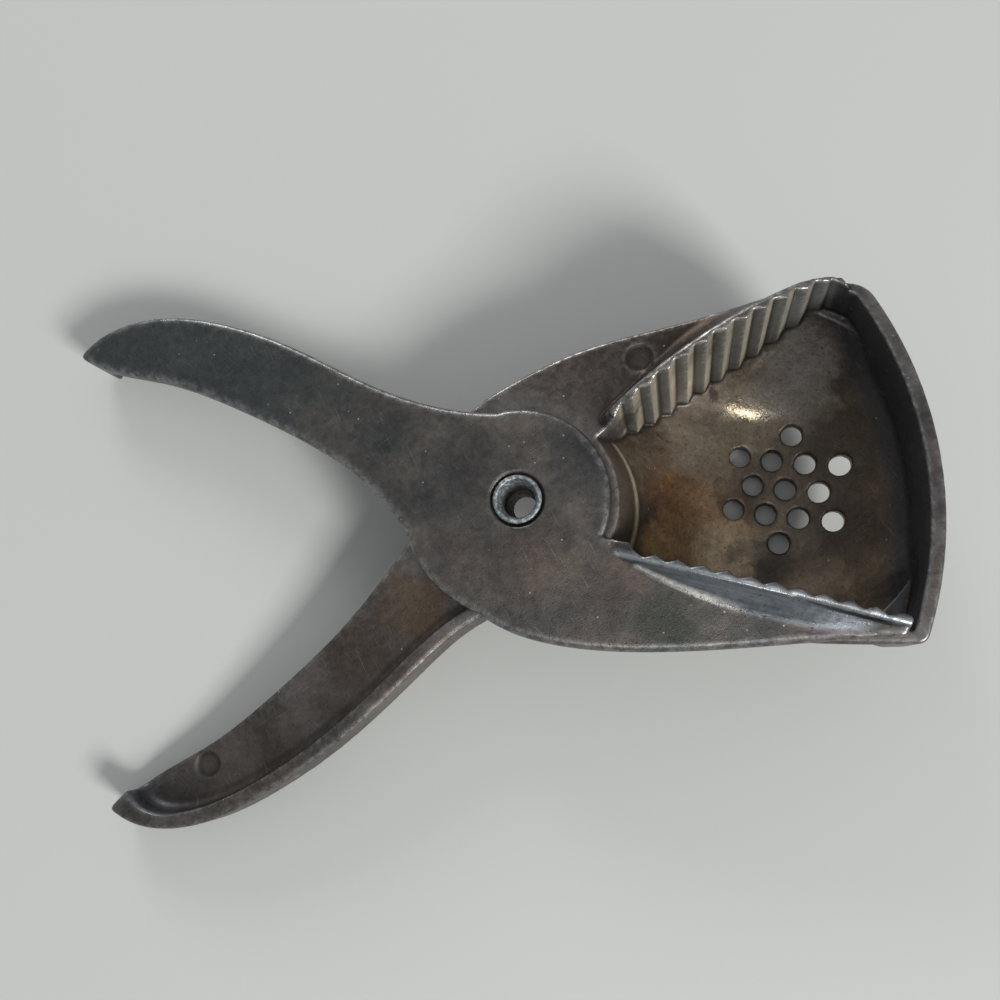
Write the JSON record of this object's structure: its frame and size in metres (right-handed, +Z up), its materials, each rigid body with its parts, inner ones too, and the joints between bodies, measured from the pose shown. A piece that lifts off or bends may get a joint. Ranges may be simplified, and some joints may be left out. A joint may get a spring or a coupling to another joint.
{
  "type": "citrus squeezer",
  "caption": "Hand citrus squeezer: two cast aluminium levers crossed on a hollow rivet, with serrated jaws over a dished strainer bowl.",
  "frame": {"origin": "on the rivet's axis, at the underside of the lower lever's hub", "axes": "+Z up along the rivet; +X along the tool's middle line from the rivet to the squeezing head; the handles point to -X"},
  "size_m": [0.1994, 0.1254, 0.0446],
  "materials": {
    "bowl_casting": "worn and stained cast",
    "jaw_casting": "worn satin cast",
    "rivet": "plated, rough at the flared lip"
  },
  "bodies": {
    "bowl_side": {"bowl_lever": "bowl_casting", "pivot_rivet": "rivet"},
    "jaw_side": {"jaw_lever": "jaw_casting"}
  },
  "joints": [
    {"name": "squeeze", "type": "hinge", "parent": "bowl_side", "child": "jaw_side", "pos_m": [0, 0, 0], "axis": [0, 0, 1], "range_deg": [0, 46]}
  ]
}
